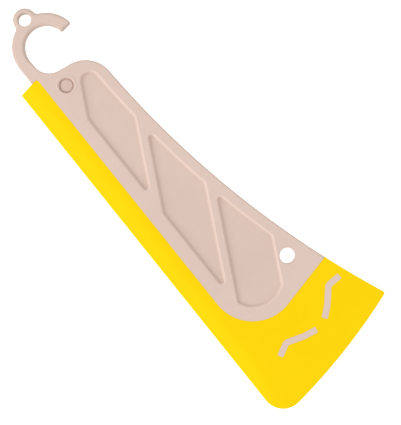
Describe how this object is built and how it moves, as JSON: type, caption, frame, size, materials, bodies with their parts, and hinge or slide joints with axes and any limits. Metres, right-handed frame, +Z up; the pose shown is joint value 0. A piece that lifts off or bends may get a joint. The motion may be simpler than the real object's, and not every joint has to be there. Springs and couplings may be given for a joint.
{
  "type": "squeegee applicator",
  "caption": "Flat hand squeegee: a rigid plate with a hanging hook, an eye and pockets, and a soft wedge-edged blade moulded along its side and its front.",
  "frame": {"origin": "middle of the tool's footprint, on the surface that it lies on", "axes": "+X from the hook to the front edge, +Y from the straight side edge to the grip's upper edge, +Z up out of the face"},
  "size_m": [0.2512, 0.0836, 0.005],
  "materials": {
    "rigid_plastic": "pale beige moulded plastic, satin",
    "soft_blade": "bright yellow soft elastomer, smooth satin"
  },
  "bodies": {
    "handle": {"rigid_core": "rigid_plastic", "blade_jacket": "soft_blade"},
    "lip": {"blade_lip": "soft_blade"}
  },
  "joints": [
    {"name": "lip_flex", "type": "hinge", "parent": "handle", "child": "lip", "pos_m": [0.1106, -0.00131, 0.0025], "axis": [0.2062, -0.9785, 0], "range_deg": [-20, 20], "stiffness_Nm_per_rad": 0.06}
  ]
}
